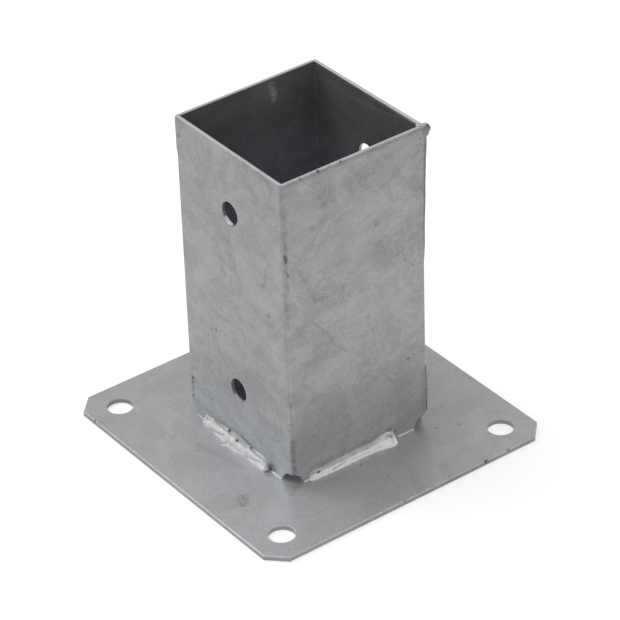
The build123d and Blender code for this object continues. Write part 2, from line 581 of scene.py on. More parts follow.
@dataclass(frozen=True)
class Spatter:
    """A drop that froze on a face: an ellipsoid with a sunk middle, longer along its own direction."""

    name: str
    middle: Triple
    reach: Triple
    turn: float
    tone: float
    stations: ClassVar[int] = 24
    points_around: ClassVar[int] = 24
    pole_gap: ClassVar[float] = 0.03

    def surface(self, sizes: Sizes) -> Grids:
        """Works out the drop's rings, from one end to the other, and their tone.

        Args:
            sizes: The sheets' sizes, which a drop has no use for.

        Returns:
            Points in mm, as (stations, points around, 3), and their tone.
        """
        polar = np.linspace(self.pole_gap, math.pi - self.pole_gap, self.stations)[:, None]
        around = np.linspace(0.0, FULL_TURN, self.points_around, endpoint=False)[None, :]
        long_way = self.reach[0] * np.cos(polar)
        side_way = self.reach[1] * np.sin(polar) * np.cos(around)
        up = self.reach[2] * np.sin(polar) * np.sin(around)
        cosine, sine = math.cos(math.radians(self.turn)), math.sin(math.radians(self.turn))
        x = self.middle[0] + long_way * cosine - side_way * sine
        y = self.middle[1] + long_way * sine + side_way * cosine
        return np.stack([x, y, self.middle[2] + up], axis=-1), np.full(up.shape, self.tone)


ZincPiece = FootBead | SeamBead | HoleFilm | HoleLip | Spatter


# Finishes


class Wiring:
    """Adds shader nodes to one tree and joins them."""

    def __init__(self, tree: NodeTree) -> None:
        """Keeps the tree that the nodes go into."""
        self.tree = tree

    def add(self, kind: str, **settings: object) -> Node:
        """Adds a node and sets its properties.

        Args:
            kind: Blender's name for the node.
            settings: Its properties by name.

        Returns:
            The new node.
        """
        node = self.tree.nodes.new(kind)
        for name, value in settings.items():
            setattr(node, name, value)
        return node

    def feed(self, socket: Socket, value: Value | Triple) -> None:
        """Joins an input to another socket, or writes a plain value into it."""
        if isinstance(value, Socket):
            self.tree.links.new(value, socket)
        else:
            socket.default_value = value

    def math(self, step: str, first: Value, second: Value = 0.0, clamp: bool = False) -> Socket:
        """Adds one step of arithmetic and returns its result."""
        node = self.add("ShaderNodeMath", operation=step, use_clamp=clamp)
        self.feed(node.inputs[0], first)
        self.feed(node.inputs[1], second)
        return node.outputs[0]

    def vector(self, step: str, first: Socket, second: Trio) -> Node:
        """Adds one step of vector arithmetic and returns its node."""
        node = self.add("ShaderNodeVectorMath", operation=step)
        self.feed(node.inputs[0], first)
        self.feed(node.inputs[1], second)
        return node

    def scaled(self, vector: Socket, factor: Value) -> Socket:
        """Multiplies a vector by one factor and returns it."""
        node = self.add("ShaderNodeVectorMath", operation="SCALE")
        self.feed(node.inputs[0], vector)
        self.feed(node.inputs["Scale"], factor)
        return node.outputs[0]

    def ease(self, value: Socket, start: Value, end: Value, first: Value = 0.0, last: Value = 1.0) -> Socket:
        """Eases from the first result to the last as value goes from start to the larger end.

        Args:
            value: What is read.
            start: The value up to which the result is the first one.
            end: The value from which on it is the last one.
            first: The first result.
            last: The last result.

        Returns:
            The eased result.
        """
        node = self.add("ShaderNodeMapRange", interpolation_type="SMOOTHSTEP", clamp=False)
        self.feed(node.inputs["Value"], value)
        for name, number in (("From Min", start), ("From Max", end), ("To Min", first), ("To Max", last)):
            self.feed(node.inputs[name], number)
        return node.outputs["Result"]

    def tint(self, share: Value, first: Trio, second: Trio, blend: str = "MIX") -> Socket:
        """Mixes two colours by share and returns the mixed one."""
        node = self.add("ShaderNodeMix", data_type="RGBA", blend_type=blend)
        self.feed(node.inputs[0], share)
        for socket, value in ((node.inputs[6], first), (node.inputs[7], second)):
            self.feed(socket, (*value, 1.0) if isinstance(value, tuple) else value)
        return node.outputs[2]

    def gray(self, level: Socket) -> Socket:
        """Turns one value into a grey colour and returns it."""
        node = self.add("ShaderNodeCombineColor")
        for socket in node.inputs[:3]:
            self.feed(socket, level)
        return node.outputs[0]

    def noise(
        self, place: Socket, size: Value, detail: float, rough: float = 0.6, swirl: float = 0.0
    ) -> Node:
        """Adds noise whose features are about size mm wide and returns its node.

        Args:
            place: Coordinates in mm.
            size: Width of the largest features, in mm.
            detail: How many finer layers lie on them.
            rough: How strong each finer layer is.
            swirl: How much the noise is bent by itself.

        Returns:
            The noise node.
        """
        node = self.add("ShaderNodeTexNoise", noise_dimensions="3D")
        self.feed(node.inputs["Vector"], place)
        scale = self.math("DIVIDE", 1.0, size) if isinstance(size, Socket) else 1.0 / size
        self.feed(node.inputs["Scale"], scale)
        node.inputs["Detail"].default_value = detail
        node.inputs["Roughness"].default_value = rough
        node.inputs["Distortion"].default_value = swirl
        return node

    def place(self) -> Socket:
        """Adds the piece's own coordinates, turned into mm, and returns them."""
        source = self.add("ShaderNodeTexCoord")
        return self.scaled(source.outputs["Object"], 1.0 / MM)

    def group(self, tree: NodeTree, **inputs: Value | Triple) -> Node:
        """Places a node group, feeds its inputs by name and returns its node."""
        node = self.add("ShaderNodeGroup", node_tree=tree)
        for name, value in inputs.items():
            self.feed(node.inputs[name.replace("_", " ").capitalize()], value)
        return node


def new_group(name: str, inputs: Names, outputs: Names) -> tuple[Wiring, dict[str, Socket], Node]:
    """Makes an empty node group.

    Args:
        name: The group's name.
        inputs: Names of its inputs. The ones that start with V: are vectors.
        outputs: Names of its outputs, all plain values.

    Returns:
        The group's wiring, its input sockets by name, and its output node.
    """
    tree = bpy.data.node_groups.new(name, "ShaderNodeTree")
    for label in inputs:
        kind = "NodeSocketVector" if label.startswith("V:") else "NodeSocketFloat"
        tree.interface.new_socket(name=label.removeprefix("V:"), in_out="INPUT", socket_type=kind)
    for label in outputs:
        tree.interface.new_socket(name=label, in_out="OUTPUT", socket_type="NodeSocketFloat")
    wiring = Wiring(tree)
    source = wiring.add("NodeGroupInput")
    sockets = {label.removeprefix("V:"): source.outputs[label.removeprefix("V:")] for label in inputs}
    return wiring, sockets, wiring.add("NodeGroupOutput")


def zinc_coat_group() -> NodeTree:
    """Builds the group that makes a dipped zinc coat uneven.

    Its outputs are Cloud, broad soft patches, Patch, patches with ragged edges, Grain, fine mottling,
    Specks, small dark dots, and Height, the relief of the coat.

    Returns:
        The node group.
    """
    labels = ("V:Place", "Cloud size", "Patch size", "Grain size")
    wiring, given, result = new_group("zinc_coat", labels, ("Cloud", "Patch", "Grain", "Specks", "Height"))
    place = given["Place"]
    cloud = wiring.noise(place, given["Cloud size"], detail=4.0, rough=0.55, swirl=0.6).outputs["Fac"]
    elsewhere = (31.0, 17.0, 53.0)
    moved = wiring.vector("ADD", place, elsewhere).outputs[0]
    patch = wiring.noise(moved, given["Patch size"], detail=7.0, rough=0.70, swirl=1.3).outputs["Fac"]
    grain = wiring.noise(place, given["Grain size"], detail=3.0).outputs["Fac"]
    cell_size, largest_speck, speck_edge, finest_size = 9.0, 0.75, 0.2, 0.45
    cells = wiring.add("ShaderNodeTexVoronoi", feature="F1")
    wiring.feed(cells.inputs["Vector"], place)
    cells.inputs["Scale"].default_value = 1.0 / cell_size
    rarity = wiring.add("ShaderNodeSeparateColor")
    wiring.feed(rarity.inputs[0], cells.outputs["Color"])
    largest = wiring.ease(rarity.outputs[1], 0.6, 0.95, first=0.0, last=largest_speck)
    reach = wiring.math("MULTIPLY", rarity.outputs[0], largest)
    inside = wiring.math("SUBTRACT", reach, wiring.math("MULTIPLY", cells.outputs["Distance"], cell_size))
    fine = wiring.noise(place, finest_size, detail=1.0).outputs["Fac"]
    grain_share, fine_share = 0.7, 0.3
    coarse = wiring.math("MULTIPLY", grain, grain_share)
    height = wiring.math("ADD", coarse, wiring.math("MULTIPLY", fine, fine_share))
    spans = {"Cloud": (cloud, 0.3, 0.7), "Patch": (patch, 0.475, 0.53), "Grain": (grain, 0.25, 0.75)}
    for name, (raw, start, end) in spans.items():
        wiring.feed(result.inputs[name], wiring.ease(raw, start, end, first=-1.0, last=1.0))
    wiring.feed(result.inputs["Specks"], wiring.ease(inside, -speck_edge, speck_edge))
    wiring.feed(result.inputs["Height"], height)
    return wiring.tree


def drying_line_group() -> NodeTree:
    """Builds the group that draws where a wet film dried: thin wavy lines, one level of a noise.

    Returns:
        The node group, whose output Line is 1 on the lines.
    """
    wiring, given, result = new_group("drying_line", ("V:Place", "Line size", "Line width"), ("Line",))
    film = wiring.noise(given["Place"], given["Line size"], detail=5.0, rough=0.62, swirl=1.0).outputs["Fac"]
    dried_level = 0.55
    away = wiring.math("ABSOLUTE", wiring.math("SUBTRACT", film, dried_level))
    wiring.feed(result.inputs["Line"], wiring.ease(away, 0.0, given["Line width"], first=1.0, last=0.0))
    return wiring.tree


def feed_mask(wiring: Wiring, given: dict[str, Socket], result: Node, away: Socket) -> NodeTree:
    """Ends a mark's group: its Mask is Strength within Core mm of the mark, and 0 past Radius mm.

    Args:
        wiring: The group's wiring.
        given: The group's inputs.
        result: The group's output node.
        away: How far each place is from the stain, in mm.

    Returns:
        The node group.
    """
    mask = wiring.ease(away, given["Core"], given["Radius"], first=given["Strength"], last=0.0)
    wiring.feed(result.inputs["Mask"], mask)
    return wiring.tree


def mark_group() -> NodeTree:
    """Builds the group that draws one round soft mark about Middle.

    Returns:
        The node group, whose output is Mask.
    """
    labels = ("V:Place", "V:Middle", "Radius", "Core", "Strength")
    wiring, given, result = new_group("round_mark", labels, ("Mask",))
    away = wiring.vector("DISTANCE", given["Place"], given["Middle"]).outputs["Value"]
    return feed_mask(wiring, given, result, away)


def streak_group() -> NodeTree:
    """Builds the group that draws one soft streak along the straight line from Middle over Run.

    Returns:
        The node group, whose output is Mask.
    """
    labels = ("V:Place", "V:Middle", "V:Run", "Radius", "Core", "Strength")
    wiring, given, result = new_group("long_streak", labels, ("Mask",))
    away = wiring.vector("SUBTRACT", given["Place"], given["Middle"]).outputs[0]
    along = wiring.vector("DOT_PRODUCT", away, given["Run"]).outputs["Value"]
    whole = wiring.vector("DOT_PRODUCT", given["Run"], given["Run"]).outputs["Value"]
    share = wiring.math("MAXIMUM", wiring.math("MINIMUM", wiring.math("DIVIDE", along, whole), 1.0), 0.0)
    length = wiring.vector("DISTANCE", away, wiring.scaled(given["Run"], share)).outputs["Value"]
    return feed_mask(wiring, given, result, length)


@dataclass(frozen=True)
class Effects:
    """The node groups that the finishes share."""

    coat: NodeTree
    drying_line: NodeTree
    mark: NodeTree
    streak: NodeTree

    @classmethod
    def build(cls) -> "Effects":
        """Builds the groups and returns them together."""
        return cls(zinc_coat_group(), drying_line_group(), mark_group(), streak_group())


def mask_values(radius: float, strength: float, softness: float) -> dict[str, float]:
    """A mark's own inputs for its group, with the core as what softness leaves of the radius."""
    return {"radius": radius, "core": radius * (1.0 - softness), "strength": strength}


@dataclass(frozen=True)
class Mark:
    """A round soft mark on a face, in mm: a stain, pit or bright patch, or a patch of painted shade."""

    face: Face
    first: float
    second: float
    radius: float
    strength: float
    softness: float = 0.8

    def mask(self, wiring: Wiring, effects: Effects, sizes: Sizes, place: Socket) -> Socket:
        """Adds the mark's nodes and returns its mask."""
        middle = self.face.place(sizes, self.first, self.second)
        values = mask_values(self.radius, self.strength, self.softness)
        return wiring.group(effects.mark, place=place, middle=middle, **values).outputs["Mask"]


@dataclass(frozen=True)
class Streak:
    """A soft streak on a face, between two places, in mm."""

    face: Face
    start: Pair
    end: Pair
    radius: float
    strength: float
    softness: ClassVar[float] = 0.8

    def mask(self, wiring: Wiring, effects: Effects, sizes: Sizes, place: Socket) -> Socket:
        """Adds the streak's nodes and returns its mask."""
        first, last = (self.face.place(sizes, *end) for end in (self.start, self.end))
        run = tuple(b - a for a, b in zip(first, last))
        values = mask_values(self.radius, self.strength, self.softness)
        return wiring.group(effects.streak, place=place, middle=first, run=run, **values).outputs["Mask"]


# Lists of marks: stains, pits and bright patches, and in the dark lists painted shade as well.
StainsAndShade = tuple[Mark | Streak, ...]


def marks(face: Face, *rows: tuple[float, ...]) -> StainsAndShade:
    """Makes marks on one face from rows of their other values."""
    return tuple(Mark(face, *row) for row in rows)


def trail(face: Face, radius: float, strength: float, *places: Pair) -> StainsAndShade:
    """Makes streaks on one face from each place to the next."""
    return tuple(Streak(face, a, b, radius, strength) for a, b in zip(places, places[1:]))


@dataclass(frozen=True)
class ZincFinish:
    """A dipped zinc coat: its colour, its gloss, how uneven it is, and its own marks.

    Sizes and relief are in mm. cloud, patch, grain and lines are shares by which the coat gets brighter
    or darker there, and a toned coat follows its pieces' own tone as well.
    """

    name: str
    color: Triple
    metallic: float
    roughness: float
    cloud_size: float
    patch_size: float
    cloud: float
    patch: float
    grain: float
    relief: float
    grain_size: float = 1.3
    specks: float = 0.35
    lines: float = 0.0
    toned: bool = False
    # Dark marks: stains and pits, and painted shade by the beads, under the rim and at the near corner.
    dark_stains_and_shade: StainsAndShade = ()
    light_stains: StainsAndShade = ()
    dark_color: ClassVar[Triple] = (0.035, 0.035, 0.037)
    light_color: ClassVar[Triple] = (0.80, 0.81, 0.82)
    darkest_tone: ClassVar[float] = 0.04
    cloud_gloss: ClassVar[float] = -0.05
    dark_gloss: ClassVar[float] = 0.3

    def shade(self, wiring: Wiring, place: Socket, color: Socket, sizes: Sizes) -> Socket:
        """Changes the coat's colour by place. A plain coat has nothing to change.

        Args:
            wiring: The material's nodes.
            place: Coordinates in mm.
            color: The coat's colour so far.
            sizes: The sheets' sizes.

        Returns:
            The colour to use.
        """
        return color

    def spot_mask(self, wiring: Wiring, effects: Effects, sizes: Sizes, place: Socket, spots: StainsAndShade) -> Value:
        """Joins marks into one mask: stains, pits and bright patches, and painted shade in the dark lists.

        Their coordinates are moved about by one noise, a little for small marks and much for wide
        ones, so that wide marks get ragged edges. A finer noise then breaks up the mask.

        Args:
            wiring: The material's nodes.
            effects: The shared groups.
            sizes: The sheets' sizes.
            place: Coordinates in mm.
            spots: The marks and streaks: stains, pits and bright patches, and painted shade.

        Returns:
            The strongest mark's value at each place.
        """
        if not spots:
            return 0.0
        wander_size, small_wander, wide_wander, small_radius, broken_size = 8.0, 2.2, 20.0, 2.6, 1.5
        wander = wiring.noise(place, wander_size, detail=6.0, rough=0.72).outputs["Color"]
        wander = wiring.vector("SUBTRACT", wander, (0.5, 0.5, 0.5)).outputs[0]
        near = wiring.vector("ADD", place, wiring.scaled(wander, small_wander)).outputs[0]
        far = wiring.vector("ADD", place, wiring.scaled(wander, wide_wander)).outputs[0]
        total: Value = 0.0
        for spot in spots:
            moved = far if spot.radius > small_radius else near
            total = wiring.math("MAXIMUM", spot.mask(wiring, effects, sizes, moved), total)
        broken = wiring.noise(place, broken_size, detail=3.0, rough=0.62).outputs["Fac"]
        broken = wiring.ease(broken, 0.32, 0.62, first=0.45, last=1.1)
        return wiring.math("MULTIPLY", total, broken, clamp=True)

    def brightness(self, wiring: Wiring, effects: Effects, place: Socket, coat: Node) -> Value:
        """Works out how bright the coat is: its clouds, patches and grain, drying lines and tone.

        Args:
            wiring: The material's nodes.
            effects: The shared groups.
            place: Coordinates in mm.
            coat: The coat's group node.

        Returns:
            The factor for the coat's colour.
        """
        level: Value = 1.0
        for name, amount in (("Cloud", self.cloud), ("Patch", self.patch), ("Grain", self.grain)):
            level = wiring.math("ADD", level, wiring.math("MULTIPLY", coat.outputs[name], amount))
        if self.lines:
            line = wiring.group(effects.drying_line, place=place, line_size=24.0, line_width=0.012)
            level = wiring.math("SUBTRACT", level, wiring.math("MULTIPLY", line.outputs["Line"], self.lines))
        # The pieces' tone: painted light and shade on the beads, and their dark pits.
        if self.toned:
            tone = wiring.add("ShaderNodeAttribute", attribute_name="tone").outputs["Fac"]
            tone = wiring.math("MAXIMUM", wiring.math("ADD", tone, 1.0), self.darkest_tone)
            level = wiring.math("MULTIPLY", level, tone)
        return level

    def build(self, effects: Effects, sizes: Sizes) -> bpy.types.Material:
        """Builds the material.

        Args:
            effects: The shared groups.
            sizes: The sheets' sizes.

        Returns:
            The material.
        """
        material = bpy.data.materials.new(self.name)
        material.use_nodes = True
        wiring = Wiring(material.node_tree)
        shader = material.node_tree.nodes["Principled BSDF"]
        place = wiring.place()
        grades = {"cloud_size": self.cloud_size, "patch_size": self.patch_size, "grain_size": self.grain_size}
        coat = wiring.group(effects.coat, place=place, **grades)
        level = self.brightness(wiring, effects, place, coat)
        color = wiring.tint(1.0, self.color, wiring.gray(level), "MULTIPLY")
        color = self.shade(wiring, place, color, sizes)
        light = self.spot_mask(wiring, effects, sizes, place, self.light_stains)
        color = wiring.tint(light, color, self.light_color)
        dark = self.spot_mask(wiring, effects, sizes, place, self.dark_stains_and_shade)
        dark = wiring.math("MAXIMUM", dark, wiring.math("MULTIPLY", coat.outputs["Specks"], self.specks))
        wiring.feed(shader.inputs["Base Color"], wiring.tint(dark, color, self.dark_color))
        shader.inputs["Metallic"].default_value = self.metallic
        gloss = wiring.math("MULTIPLY_ADD", coat.outputs["Cloud"], self.cloud_gloss)
        gloss.node.inputs[2].default_value = self.roughness
        gloss = wiring.math("ADD", gloss, wiring.math("MULTIPLY", dark, self.dark_gloss), clamp=True)
        wiring.feed(shader.inputs["Roughness"], gloss)
        bump = wiring.add("ShaderNodeBump")
        bump.inputs["Distance"].default_value = self.relief * MM
        wiring.feed(bump.inputs["Height"], coat.outputs["Height"])
        wiring.feed(shader.inputs["Normal"], bump.outputs["Normal"])
        return material


@dataclass(frozen=True)
class SleeveFinish(ZincFinish):
    """The sleeve's coat: painted light and shade by height and inside, banded aslant, a painted highlight on
    the rim.

    Tones are factors of the coat's colour and bands is a share of it. Heights, depths and skins are in
    mm: a depth is counted down from the rim, and a skin is a layer in which one tone passes into another.
    """

    bands: ClassVar[float] = 0.05
    foot_height: ClassVar[float] = 46.0
    foot_light: ClassVar[float] = 1.18
    upper_height: ClassVar[float] = 50.0
    upper_shade: ClassVar[float] = 0.90
    front_skin: ClassVar[Pair] = (0.4, 0.9)
    front_heights: ClassVar[Pair] = (22.0, 58.0)
    front_light_and_shade: ClassVar[Pair] = (0.07, -0.11)
    inner_skin: ClassVar[Pair] = (0.3, 0.6)
    inner_depths: ClassVar[Pair] = (75.0, 8.0)
    inner_light_and_shade: ClassVar[Pair] = (1.15, 0.52)
    inner_tint: ClassVar[Triple] = (1.02, 0.97, 1.03)
    inner_top: ClassVar[Pair] = (0.6, 0.2)
    rim_skin: ClassVar[Pair] = (0.35, 0.1)
    rim_highlight_color: ClassVar[Triple] = (0.72, 0.73, 0.74)
    rim_highlight: ClassVar[float] = 0.62

    def wall_light_and_bands(self, wiring: Wiring, place: Socket, axes: Node, sizes: Sizes) -> Socket:
        """Paints light and shade on all walls by height, and on the front wall once more, and lays the bands
        on them.

        The bands are noise stretched along a line that climbs from the near fold over the right wall.

        Args:
            wiring: The material's nodes.
            place: Coordinates in mm.
            axes: The node that parts those coordinates.
            sizes: The sheets' sizes.

        Returns:
            The factor for the coat's colour.
        """
        height = axes.outputs["Z"]
        # Painted light and shade: brighter at the foot and darker towards the rim, and the front wall
        # brighter low down and darker higher up.
        foot = wiring.ease(height, sizes.plate_top, self.foot_height, first=self.foot_light, last=1.0)
        upper = wiring.ease(height, self.upper_height, sizes.rim, first=1.0, last=self.upper_shade)
        grade = wiring.math("MULTIPLY", foot, upper)
        front_start, front_end = (skin - sizes.half for skin in self.front_skin)
        front = wiring.ease(axes.outputs["Y"], front_start, front_end, first=1.0, last=0.0)
        gain = wiring.ease(height, *self.front_heights, *self.front_light_and_shade)
        own = wiring.math("ADD", 1.0, wiring.math("MULTIPLY", front, gain))
        grade = wiring.math("MULTIPLY", grade, own)

        along_band, across_band, x_rate = (0.0, 0.025, 0.007), (0.0, -0.045, 0.15), 0.03
        along = wiring.vector("DOT_PRODUCT", place, along_band).outputs["Value"]
        across = wiring.vector("DOT_PRODUCT", place, across_band).outputs["Value"]
        flat = wiring.add("ShaderNodeCombineXYZ")
        wiring.feed(flat.inputs[0], along)
        wiring.feed(flat.inputs[1], across)
        wiring.feed(flat.inputs[2], wiring.math("MULTIPLY", axes.outputs["X"], x_rate))
        bands = wiring.noise(flat.outputs[0], 1.0, detail=5.0, rough=0.62, swirl=0.3).outputs["Fac"]
        banded = wiring.ease(bands, 0.32, 0.68, first=1.0 - self.bands, last=1.0 + self.bands)
        return wiring.math("MULTIPLY", grade, banded)

    def shade(self, wiring: Wiring, place: Socket, color: Socket, sizes: Sizes) -> Socket:
        """Paints light and shade on the walls and inside by depth, bands the walls, and paints a highlight on
        the rim.

        Args:
            wiring: The material's nodes.
            place: Coordinates in mm.
            color: The coat's colour so far.
            sizes: The sheets' sizes.

        Returns:
            The colour to use.
        """
        axes = wiring.add("ShaderNodeSeparateXYZ")
        wiring.feed(axes.inputs[0], place)
        height = axes.outputs["Z"]
        grade = self.wall_light_and_bands(wiring, place, axes, sizes)
        widest = wiring.math("MAXIMUM", *(wiring.math("ABSOLUTE", axes.outputs[axis]) for axis in "XY"))
        skin_start, skin_end = (sizes.inner_half + skin for skin in self.inner_skin)
        inner = wiring.ease(widest, skin_start, skin_end, first=1.0, last=0.0)
        top_start, top_end = (sizes.rim - depth for depth in self.inner_top)
        inner = wiring.math("MULTIPLY", inner, wiring.ease(height, top_start, top_end, first=1.0, last=0.0))
        # Painted light and shade inside: lighter deep down, darker just below the rim.
        deep, near = (sizes.rim - depth for depth in self.inner_depths)
        depth_light = wiring.ease(height, deep, near, *self.inner_light_and_shade)
        gain = wiring.math("MULTIPLY", inner, wiring.math("SUBTRACT", depth_light, 1.0))
        inside = wiring.math("ADD", 1.0, gain)
        color = wiring.tint(1.0, color, wiring.gray(wiring.math("MULTIPLY", grade, inside)), "MULTIPLY")
        color = wiring.tint(inner, color, self.inner_tint, "MULTIPLY")
        # Painted highlight along the top of the rim.
        rim_start, rim_end = (sizes.rim - skin for skin in self.rim_skin)
        rim = wiring.ease(height, rim_start, rim_end, first=0.0, last=self.rim_highlight)
        return wiring.tint(rim, color, self.rim_highlight_color)


@dataclass(frozen=True)
class PlateFinish(ZincFinish):
    """The foot plate's coat: painted shade on the sides and in the holes, a painted highlight on the upper
    edge, and painted light towards +X.

    Each pair of tones goes with a pair of distances in mm, between which it passes from one to the other.
    """

    side_skin: ClassVar[Pair] = (0.5, 0.25)
    side_shade: ClassVar[float] = 0.5
    floor_skin: ClassVar[Pair] = (0.05, 0.25)
    edge_skin: ClassVar[Pair] = (0.07, 0.01)
    edge_highlight: ClassVar[float] = 1.2
    slope: ClassVar[Triple] = (0.6, -0.2, 0.0)
    slope_span: ClassVar[Pair] = (-32.0, 48.0)
    slope_light: ClassVar[Pair] = (0.985, 1.13)

    def shade(self, wiring: Wiring, place: Socket, color: Socket, sizes: Sizes) -> Socket:
        """Paints shade on the sides but not the underside, a highlight on the upper edge and light across the
        top.

        Args:
            wiring: The material's nodes.
            place: Coordinates in mm.
            color: The coat's colour so far.
            sizes: The sheets' sizes.

        Returns:
            The colour to use.
        """
        axes = wiring.add("ShaderNodeSeparateXYZ")
        wiring.feed(axes.inputs[0], place)
        height = axes.outputs["Z"]
        # Painted shade on the cut sides and the hole walls.
        side_start, side_end = (sizes.plate_top - skin for skin in self.side_skin)
        side = wiring.ease(height, side_start, side_end, first=self.side_shade, last=1.0)
        underside = wiring.ease(height, *self.floor_skin, first=1.0, last=0.0)
        tone = wiring.math("MAXIMUM", side, underside)
        # Painted highlight along the upper edge.
        edge_start, edge_end = (sizes.plate_top - skin for skin in self.edge_skin)
        edge = wiring.ease(height, edge_start, edge_end, first=self.edge_highlight, last=1.0)
        # Painted light across the top, growing towards +X.
        across = wiring.vector("DOT_PRODUCT", place, self.slope).outputs["Value"]
        tone = wiring.math("MULTIPLY", tone, edge)
        tone = wiring.math("MULTIPLY", tone, wiring.ease(across, *self.slope_span, *self.slope_light))
        return wiring.tint(1.0, color, wiring.gray(tone), "MULTIPLY")


@dataclass(frozen=True)
class FloorFinish:
    """The pale floor, which shows white to the camera and in reflections, and keeps the shadow."""

    name: str = "studio_floor"
    color: Triple = (0.62, 0.62, 0.62)
    roughness: float = 0.9
    glow: float = 0.60

    def build(self) -> bpy.types.Material:
        """Builds the material: matt, with a glow that only the camera and reflections see."""
        material = bpy.data.materials.new(self.name)
        material.use_nodes = True
        wiring = Wiring(material.node_tree)
        shader = material.node_tree.nodes["Principled BSDF"]
        shader.inputs["Base Color"].default_value = (*self.color, 1.0)
        shader.inputs["Roughness"].default_value = self.roughness
        shader.inputs["Specular IOR Level"].default_value = 0.0
        path = wiring.add("ShaderNodeLightPath")
        seen = wiring.math("MAXIMUM", path.outputs["Is Camera Ray"], path.outputs["Is Glossy Ray"])
        seen = wiring.math("MAXIMUM", seen, path.outputs["Is Transmission Ray"])
        shader.inputs["Emission Color"].default_value = (1.0, 1.0, 1.0, 1.0)
        wiring.feed(shader.inputs["Emission Strength"], wiring.math("MULTIPLY", seen, self.glow))
        return material


# Stage


@dataclass(frozen=True)
class Camera:
    """The photograph's camera: its direction, distance, lens and frame, in mm and degrees."""

    azimuth: float = 53.85
    elevation: float = 33.95
    roll: float = -2.03
    distance: float = 1451.43
    aim_height: float = 75.0
    aim_right: float = 2.56
    aim_up: float = -13.06
    focal_pixels: float = 3377.59
    frame_pixels: float = 620.0
    sensor: float = 36.0
    nearest: float = 10.0
    farthest: float = 50000.0

    def build(self) -> bpy.types.Object:
        """Makes the camera and sets it as the scene's.

        Returns:
            The camera.
        """
        azimuth, elevation, roll = (math.radians(a) for a in (self.azimuth, self.elevation, self.roll))
        back = Vector((math.sin(azimuth), -math.cos(azimuth), 0.0)) * math.cos(elevation)
        back.z = math.sin(elevation)
        right = Vector((math.cos(azimuth), math.sin(azimuth), 0.0))
        up = back.cross(right)
        rolled = right * math.cos(roll) + up * math.sin(roll)
        up = up * math.cos(roll) - right * math.sin(roll)
        place = Vector((0.0, 0.0, self.aim_height)) + rolled * self.aim_right + up * self.aim_up
        place = (place + back * self.distance) * MM
        data = bpy.data.cameras.new("photo_camera")
        data.sensor_width = self.sensor
        data.lens = self.focal_pixels / self.frame_pixels * self.sensor
        data.clip_start, data.clip_end = self.nearest * MM, self.farthest * MM
        camera = bpy.data.objects.new("photo_camera", data)
        camera.matrix_world = Matrix.Translation(place) @ Matrix((rolled, up, back)).transposed().to_4x4()
        bpy.context.scene.collection.objects.link(camera)
        bpy.context.scene.camera = camera
        return camera


@dataclass(frozen=True)
class Softbox:
    """A square lamp with soft light, aimed at the part."""

    name: str
    place: Triple
    side: float
    power: float
    aim: Triple = (0.0, 0.0, 0.07)

    def build(self) -> bpy.types.Object:
        """Makes the lamp, facing its aim, and returns it."""
        data = bpy.data.lights.new(self.name, "AREA")
        data.shape = "SQUARE"
        data.size = self.side
        data.energy = self.power
        lamp = bpy.data.objects.new(self.name, data)
        lamp.location = self.place
        lamp.rotation_euler = (Vector(self.place) - Vector(self.aim)).to_track_quat("Z", "Y").to_euler()
        bpy.context.scene.collection.objects.link(lamp)
        return lamp


@dataclass(frozen=True)
class Studio:
    """The pale floor, the daylight around the part and the softbox, in metres and watts.

    The daylight is a little brighter on one side, and the camera sees it as plain white.
    """

    floor_side: float = 6.0
    floor_height: float = -0.0002
    bright_side: Triple = (-0.2, -0.9, 0.39)
    daylight_span: Pair = (-0.7, 0.9)
    daylight: Pair = (0.54, 0.66)
    shown: float = 1.0
    lamp: Softbox = Softbox("key_softbox", (-1.0, -0.62, 1.85), 1.2, 13.0)

    def floor(self) -> None:
        """Makes the floor, a square just under the part, as a piece of the stage."""
        side = self.floor_side / 2
        corners = ((-side, -side), (side, -side), (side, side), (-side, side))
        mesh = bpy.data.meshes.new("studio_floor")
        mesh.from_pydata([(x, y, self.floor_height) for x, y in corners], [], [(0, 1, 2, 3)])
        floor = bpy.data.objects.new("studio_floor", mesh)
        bpy.context.scene.collection.objects.link(floor)
        mesh.materials.append(FloorFinish().build())

    def build(self) -> None:
        """Makes the floor, the world and the lamp."""
        self.floor()
        world = bpy.data.worlds.new("studio")
        world.use_nodes = True
        bpy.context.scene.world = world
        wiring = Wiring(world.node_tree)
        background = world.node_tree.nodes["Background"]
        path = wiring.add("ShaderNodeLightPath")
        seen = wiring.math("MAXIMUM", path.outputs["Is Camera Ray"], path.outputs["Is Transmission Ray"])
        source = wiring.add("ShaderNodeTexCoord")
        turned = wiring.vector("DOT_PRODUCT", source.outputs["Generated"], self.bright_side).outputs["Value"]
        daylight = wiring.ease(turned, *self.daylight_span, *self.daylight)
        daylight = wiring.math("MULTIPLY", daylight, wiring.math("SUBTRACT", 1.0, seen))
        level = wiring.math("ADD", daylight, wiring.math("MULTIPLY", seen, self.shown))
        background.inputs["Color"].default_value = (1.0, 1.0, 1.0, 1.0)
        wiring.feed(background.inputs["Strength"], level)
        self.lamp.build()
